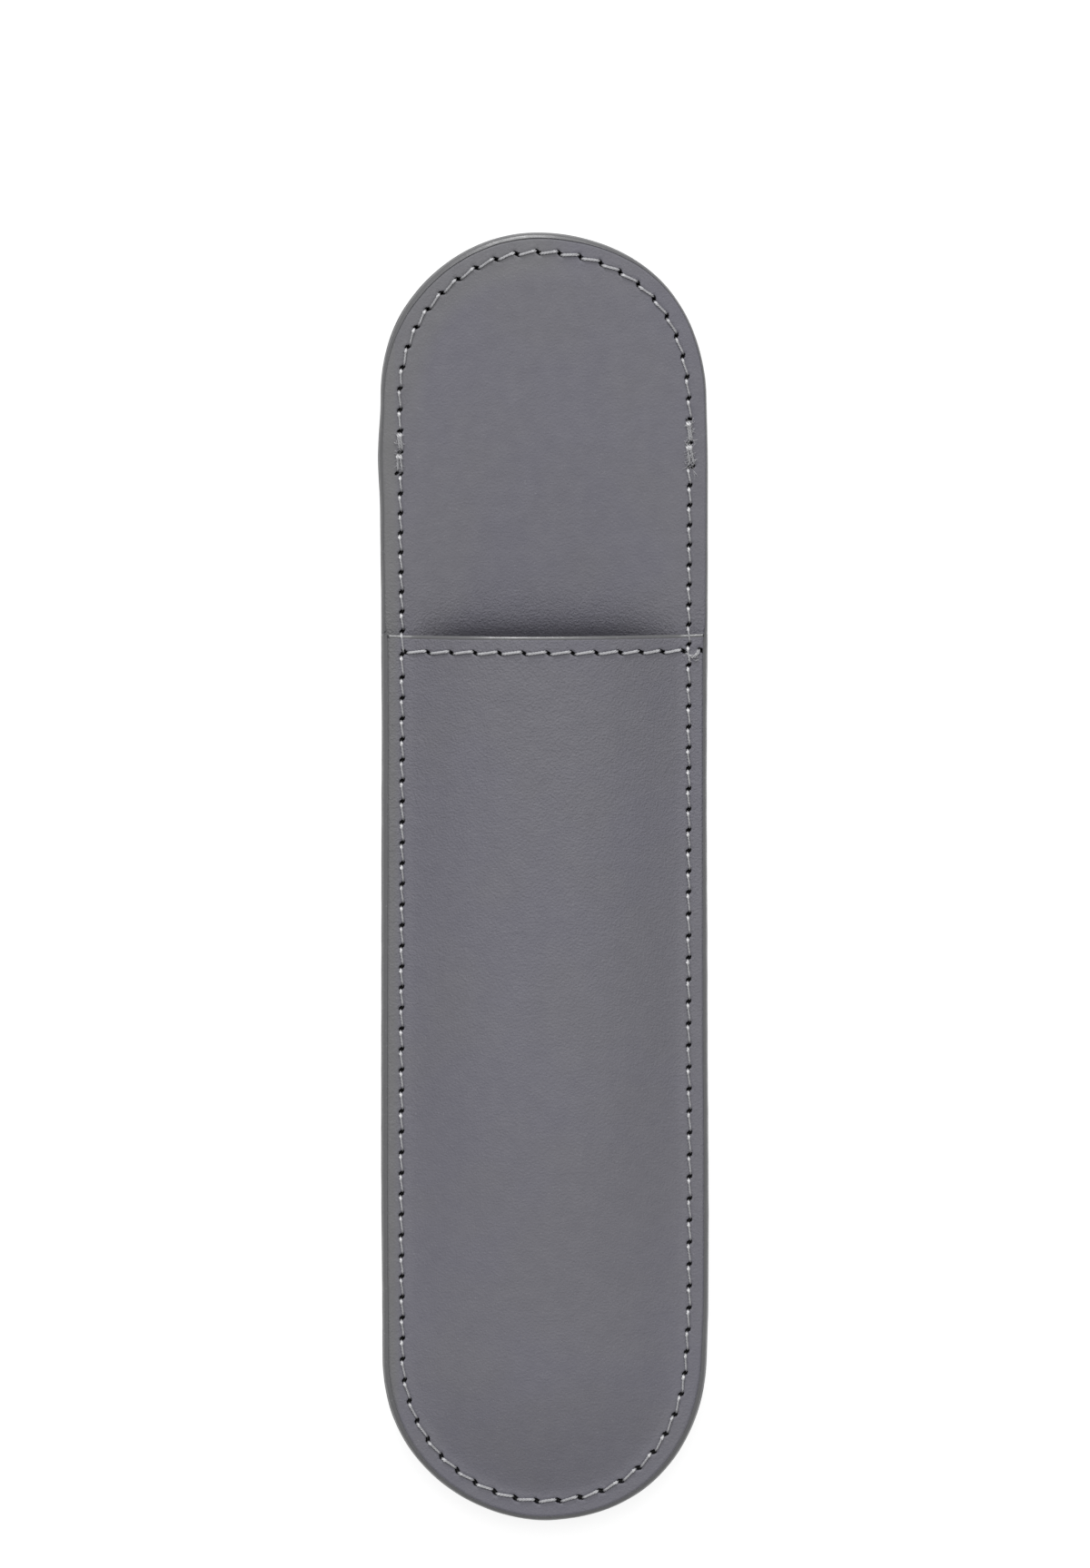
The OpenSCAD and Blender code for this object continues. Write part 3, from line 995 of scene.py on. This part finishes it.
def ring_faces(count, around, closed, base=0):
    """Faces between count rings of around points, which are numbered from base."""
    faces = []
    for i in range(count if closed else count - 1):
        a = base + i * around
        b = base + (i + 1) % count * around
        for k in range(around):
            n = (k + 1) % around
            faces.append((a + k, a + n, b + n, b + k))
    if not closed:
        faces.append(tuple(base + k for k in reversed(range(around))))
        faces.append(tuple(base + (count - 1) * around + k for k in range(around)))
    return faces


def painted(name, lines, closed):
    """A skin through lines that run along an edge. An open one has caps."""
    rings = np.stack(lines, 1)
    return new_object(name, rings.reshape(-1, 3), ring_faces(*rings.shape[:2], closed), edge_paint)


# Cross-section of the painted edge: inset as a share of the crease's, and height from the face
FRONT_LOBE = ((1.13, -0.19), (1.01, -0.12), (0.97, -0.04), (0.93, -0.012), (0.88, -0.025), (0.80, -0.055),
              (0.68, -0.105), (0.56, -0.155), (0.46, -0.205), (0.37, -0.29), (0.28, -0.41), (0.21, -0.56),
              (0.18, -0.72), (0.21, -0.88))
BACK_LOBE = ((0.06, 0.80), (0.03, 0.62), (0.03, 0.44), (0.09, 0.27), (0.21, 0.14), (0.37, 0.05),
             (0.56, 0.005), (0.76, -0.005), (0.90, 0.03), (1.01, 0.10), (1.13, 0.16))
# Between the lobes is the side, with a shoulder at its top and a low groove over each joint of two plies
SIDE_STEPS = 14
SIDE_INSET = 0.03
SHOULDER = 0.12
SHOULDER_RATE = 6
PLY_JOINTS = (BOARD_Z, FACING_Z, TONGUE_Z, PANEL_Z)
JOINT_DEPTH = 0.05
JOINT_RUN = 0.1
PAINT_STEP = 0.35
SLOW_WOBBLE = 0.016
QUICK_WOBBLE = 0.008
MOUTH_BLEND = 0.16
# A nick on the left, where the pocket's edge begins. It spares the outermost part of the lobe
NICK_STATION = left_at(29.5)
NICK_DEPTH = 0.4
NICK_RUN = 0.13


def made_edge_bead():
    stations = [loop_stations(PAINT_STEP)]
    for end in (left_at(mouth_line(-END_R)), right_at(mouth_line(END_R)), NICK_STATION):
        stations.append(np.linspace(end - 0.4, end + 0.4, 13))
    stations = np.unique(np.concatenate(stations).round(4))
    crease = crease_inset(stations)
    place = along(stations, END_R)[0]
    nick = NICK_DEPTH * bump((stations - NICK_STATION) / NICK_RUN)
    pocket = smooth((mouth_line(place[:, 0]) - place[:, 1]) / MOUTH_BLEND + 0.5)
    top = TONGUE_Z + (MARGIN_Z - TONGUE_Z) * pocket - end_fall(place)
    columns = []
    slow = wobble(stations, SLOW_WOBBLE)
    for share, height in FRONT_LOBE:
        stray = 0.0 if share > 1 else slow + wobble(stations, QUICK_WOBBLE)
        nicked = nick * smooth((share - 0.5) / 0.3)
        columns.append((share * crease + stray, top + height - nicked))
    upper = top - 1.0
    lower = BACK_Z + 0.95
    for t in np.linspace(0, 1, SIDE_STEPS):
        z = upper + (lower - upper) * t
        joints = sum(JOINT_DEPTH * bump((z - joint) / JOINT_RUN) for joint in PLY_JOINTS)
        inset = SIDE_INSET + SHOULDER * (1 - smooth(t * SHOULDER_RATE)) + joints
        columns.append((inset + wobble(stations, QUICK_WOBBLE), z))
    for share, height in BACK_LOBE:
        columns.append((share * crease, np.full(len(stations), BACK_Z + height)))
    lines = [np.column_stack([along(stations, END_R - np.maximum(inset, 0))[0], z]) for inset, z in columns]
    return painted("painted_edge", lines, True)


# Cross-section of the painted mouth: distance outwards from the mouth's line, and height from the face
MOUTH_LIP = ((-0.46, -0.16), (-0.40, -0.05), (-0.34, -0.035), (-0.28, -0.04), (-0.22, -0.03), (-0.19, -0.036),
             (-0.13, -0.07), (-0.07, -0.105), (-0.01, -0.14), (0.03, -0.21), (0.04, -0.40), (0.03, -0.7),
             (0.0, -1.05), (0.0, -1.2), (-0.03, -1.45), (-0.14, -1.58), (-0.3, -1.62), (-0.46, -1.55))
MOUTH_LEFT = -18.95
MOUTH_RIGHT = 19.15


def made_mouth_bead():
    x = np.linspace(MOUTH_LEFT, MOUTH_RIGHT, 150)
    line = mouth_line(x)
    top = pocket_skin(np.column_stack([x, line - 0.4]))
    lines = []
    for out, height in MOUTH_LIP:
        stray = wobble(x, 0.009, MOUTH_WAVES)
        lines.append(np.column_stack([x, line + out + stray, top + height]))
    return painted("painted_mouth", lines, False)


edge_bead = made_edge_bead()
mouth_bead = made_mouth_bead()

# Threads. A stitch rises from DIVE below the leather to RIDE above it
STEP = 0.09
DIVE = 0.55
RIDE = 0.14
RISE_RUN = 0.42
STRAND_R = 0.100
STRAND_HELIX = 0.092
STRAND_SIDES = 6
BOW = 0.035
# Where the leather under a stitch steps by more than this, the thread is pulled straight over it
TAUT_STEP = 0.8
# Along the sides the stitches are pulled in and darkened with painted shade, and each swells where it leaves
# the upper slit and is paled there with a painted highlight
SIDE_SLIM = 0.31
SIDE_PAINTED_SHADE = 0.3
KNOB_PLACE = 0.42
KNOB_RUN = 0.2
KNOB_SWELL = 0.55
KNOB_RISE = 0.06
KNOB_PAINTED_HIGHLIGHT = 0.9
# Loose fibres
FIBRE_R = 0.022
FIBRE_POINTS = 12
FIBRE_RIDE = 0.12
FIBRE_LIFT = 0.25


def taut(s, z):
    """The line pulled straight over what lies under it."""
    hull = []
    for point in zip(s, z):
        while len(hull) > 1:
            (s1, z1), (s2, z2) = hull[-2:]
            if (z2 - z1) * (point[0] - s1) > (point[1] - z1) * (s2 - s1):
                break
            hull.pop()
        hull.append(point)
    return np.interp(s, [h[0] for h in hull], [h[1] for h in hull])


class Tubes:
    """Gathers round strands into one mesh."""

    def __init__(self):
        self.points = []
        self.faces = []
        self.painted_shading = []

    def add(self, centre, across, r, painted_shading, sides=STRAND_SIDES):
        up = unit(np.cross(across, unit(np.gradient(centre, axis=0))))
        r = np.broadcast_to(r, len(centre))[:, None]
        rings = []
        for k in range(sides):
            a = 2 * math.pi * k / sides
            rings.append(centre + r * (math.cos(a) * across + math.sin(a) * up))
        base = sum(len(p) for p in self.points)
        self.faces += ring_faces(len(centre), sides, False, base)
        self.points.append(np.stack(rings, 1).reshape(-1, 3))
        self.painted_shading.append(np.repeat(painted_shading, sides))

    def made(self, name):
        points = np.concatenate(self.points)
        return new_object(name, points, self.faces, thread, np.concatenate(self.painted_shading))


def add_stitch(tubes, a, b, skin, up, splay, sag):
    """One stitch from a to b: three strands, twisted, that come out of one slit and go into the next."""
    length = np.linalg.norm(b - a)
    sideways = abs(b[1] - a[1]) / length
    s = np.linspace(0, length, int(length / STEP) + 1)
    side = np.array([a[1] - b[1], b[0] - a[0]]) / length
    bow = random.uniform(-BOW, BOW) - sag
    plan = a + np.outer(s / length, b - a) + np.outer(bow * np.sin(math.pi * s / length), side)
    height = skin(plan)
    rise = 1 - np.square(1 - np.clip(np.minimum(s, length - s) / RISE_RUN, 0, 1))
    from_top = s if a[1] > b[1] else length - s
    knob = sideways * bump((from_top - KNOB_PLACE) / KNOB_RUN) * random.uniform(0.7, 1.2)
    size = (1 - SIDE_SLIM * sideways) * (1 + KNOB_SWELL * knob)
    z = height + up * ((DIVE + RIDE) * rise - DIVE + KNOB_RISE * knob)
    if np.ptp(height) > TAUT_STEP:
        z = taut(s, z)
    path = np.column_stack([plan, z])
    across = np.array([side[0], side[1], 0.0])
    above = np.cross(across, unit(np.gradient(path, axis=0)))
    # Painted shade where the thread sinks into its slit and along the sides, and a painted highlight at the
    # knob
    sunk_shade = smooth((-0.05 - up * (z - height)) / 0.3)
    painted_shading = sunk_shade + (1 - sunk_shade) * (SIDE_PAINTED_SHADE * sideways - KNOB_PAINTED_HIGHLIGHT * knob)
    start = random.uniform(0, 2 * math.pi)
    for k in range(THREAD_STRANDS):
        turn = start + 2 * math.pi * (k / THREAD_STRANDS + s / STRAND_LAY)
        spread = (splay * STRAND_HELIX * size)[:, None]
        centre = path + spread * (np.outer(np.cos(turn), across) + np.sin(turn)[:, None] * above)
        tubes.add(centre, across, size * STRAND_R, painted_shading)


def add_fibre(tubes, start, heading, length):
    """A loose fibre that lies on the thread or stands off it."""
    bends = np.random.default_rng(random.randrange(10 ** 6)).normal(0, 0.22, FIBRE_POINTS)
    turn = heading + np.cumsum(bends)
    steps = np.column_stack([np.cos(turn), np.sin(turn)]) * length / FIBRE_POINTS
    plan = start + np.cumsum(steps, axis=0)
    arch = np.sin(math.pi * np.linspace(0, 1, FIBRE_POINTS))
    z = front_skin(plan) + FIBRE_RIDE + FIBRE_LIFT * arch * random.uniform(0.3, 1)
    across = np.array([-math.sin(heading), math.cos(heading), 0.0])
    tubes.add(np.column_stack([plan, z]), across, FIBRE_R, np.zeros(FIBRE_POINTS), 4)


def made_thread(cad_node, seam, skin, up, fibres=(), loose=None):
    """The thread of a seam. For some stitches loose gives the splay of the strands and the sag."""
    tubes = Tubes()
    loose = loose or {}
    count = len(seam.starts)
    for i, (a, b) in enumerate(zip(seam.starts, seam.ends)):
        splay, sag = loose.get(i, loose.get(i - count, (1.0, 0.0)))
        add_stitch(tubes, a, b, skin, up, splay, sag)
    for x, y, heading, length in fibres:
        add_fibre(tubes, np.array([x, y]), math.radians(heading), length)
    return tubes.made(cad_node.replace("seam_", ""))


def lap_fibres(x, low, high, count, longest):
    return [(x + random.uniform(-0.4, 0.4), random.uniform(low, high), random.uniform(-180, 180),
             random.uniform(0.25, longest)) for _ in range(count)]


# Loose fibres at the doubled stitches and at the frayed end of the mouth's row: x, y, heading and length
tongue_fibres = lap_fibres(-SEAM_R - 0.1, 49.2, 53.6, 60, 0.6)
pocket_fibres = lap_fibres(SEAM_R + 0.05, 49.6, 55.2, 120, 0.8)
pocket_fibres += [(17.75, 49.4, -75, 1.3), (17.9, 49.2, -40, 0.9)]
mouth_fibres = [(x, MOUTH_ROW_Y - below, heading, length) for x, below, heading, length in (
    (17.6, 0.2, -20, 0.9), (17.9, 0.6, 30, 0.8), (18.2, 0.9, -15, 0.5), (18.0, 0.9, 15, 0.7),
    (17.5, 0.5, -60, 0.7), (17.3, 0.1, -100, 0.6))]
LAPPED = {i: (1.35, 0.0) for i in (0, 1, -2, -1)}
FRAYED_END = {-1: (1.7, 0.75)}
THREADS = (("tongue_seam_needle_thread", tongue_seam, front_skin, 1, tongue_fibres, LAPPED),
           ("pocket_seam_needle_thread", pocket_seam, front_skin, 1, pocket_fibres, LAPPED),
           ("mouth_seam_needle_thread", mouth_seam, front_skin, 1, mouth_fibres, FRAYED_END),
           ("tongue_seam_bobbin_thread", back_tongue_seam, back_skin, -1),
           ("pocket_seam_bobbin_thread", back_pocket_seam, back_skin, -1),
           ("mouth_seam_bobbin_thread", mouth_seam, lining_skin, -1))

# What each piece stands for, and the name of its finish in the record
pieces = [(back_sheet, "back_panel", "outer_leather"),
          (board_sheet, "back_board", "stiff_board"),
          (facing_sheet, "inner_facing", "facing_leather"),
          (lining_sheet, "pocket_lining", "lining_leather"),
          (pocket_sheet, "pocket_panel", "outer_leather"),
          (edge_bead, "perimeter_edge_paint", "edge_paint"),
          (mouth_bead, "mouth_edge_paint", "edge_paint")]
pieces += [(made_thread(*given), given[0], "thread") for given in THREADS]
for piece, cad_node, slot in pieces:
    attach(piece, "root")
    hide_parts(cad_node)

# Floor, a hair below the sleeve, so that no face of it lies in a face of the sleeve
FLOOR_HALF = 1.5
FLOOR_Z = -0.00002
FLOOR_GLOW = 0.85
FLOOR_SEEN = 0.35
FLOOR_TONE = 0.5


def floor_material():
    """Pale studio floor. The camera and reflections see it near white, with the soft shadow."""
    material, tree = new_material("studio_floor")
    tree.nodes.remove(tree.nodes["Principled BSDF"])
    bright = node(tree, "Emission", {"Color": grey(1), "Strength": FLOOR_GLOW})
    catcher = node(tree, "BsdfDiffuse", {"Color": grey(FLOOR_SEEN)})
    both = node(tree, "AddShader", {0: bright.outputs[0], 1: catcher.outputs[0]}).outputs[0]
    unseen = node(tree, "BsdfDiffuse", {"Color": grey(FLOOR_TONE)}).outputs[0]
    mix = node(tree, "MixShader", {0: ray_seen(tree), 1: unseen, 2: both}).outputs[0]
    tree.links.new(mix, tree.nodes["Material Output"].inputs["Surface"])
    return material


floor_mesh = bpy.data.meshes.new("floor")
corners = [(x * FLOOR_HALF, y * FLOOR_HALF, FLOOR_Z) for x, y in ((-1, -1), (1, -1), (1, 1), (-1, 1))]
floor_mesh.from_pydata(corners, [], [(0, 1, 2, 3)])
floor_mesh.materials.append(floor_material())
floor = placed("floor", floor_mesh)

# Light: an even studio, a soft panel overhead, and a narrow strip low beyond the tongue's end
WORLD_LIGHT = 0.30
world = bpy.data.worlds.new("studio")
bpy.context.scene.world = world
world.use_nodes = True
sky = world.node_tree
background = sky.nodes["Background"]
sky.links.new(remap(sky, ray_seen(sky), 0, 1, WORLD_LIGHT, 1.0), background.inputs["Strength"])
background.inputs["Color"].default_value = grey(1)


def panel_light(name, place, size, share):
    """A soft panel, aimed at the middle. At share 1 colours on a face towards +Z render as written."""
    data = bpy.data.lights.new(name, "AREA")
    data.shape = "RECTANGLE"
    data.size, data.size_y = size
    ray = Vector(place)
    data.energy = share * math.pi ** 2 * ray.length_squared / ray.normalized().z
    lamp = placed(name, data)
    lamp.location = place
    lamp.rotation_euler = ray.to_track_quat("Z", "Y").to_euler()
    lamp.visible_camera = False


panel_light("overhead", (0, 0.85, 1.8), (1.7, 1.4), 0.49)
panel_light("strip", (-0.2, 1.36, 0.70), (0.4, 0.2), 0.17)

# Camera, square on from above. VIEW_TALL metres fill the frame from top to bottom at REFERENCE_Z
SENSOR_W = 36
CAMERA_HEIGHT = 1.205
VIEW_TALL = 0.1902
VIEW_CENTRE = (0.00014, 0.01118)
REFERENCE_Z = 0.005
camera_data = bpy.data.cameras.new("camera")
camera_data.sensor_width = SENSOR_W
camera_data.lens = SENSOR_W * (CAMERA_HEIGHT - REFERENCE_Z) / VIEW_TALL
camera_data.clip_start = 0.1
camera_data.clip_end = 10
camera = placed("camera", camera_data)
camera.location = (*VIEW_CENTRE, CAMERA_HEIGHT)
bpy.context.scene.camera = camera
bpy.context.scene.view_settings.view_transform = "Standard"
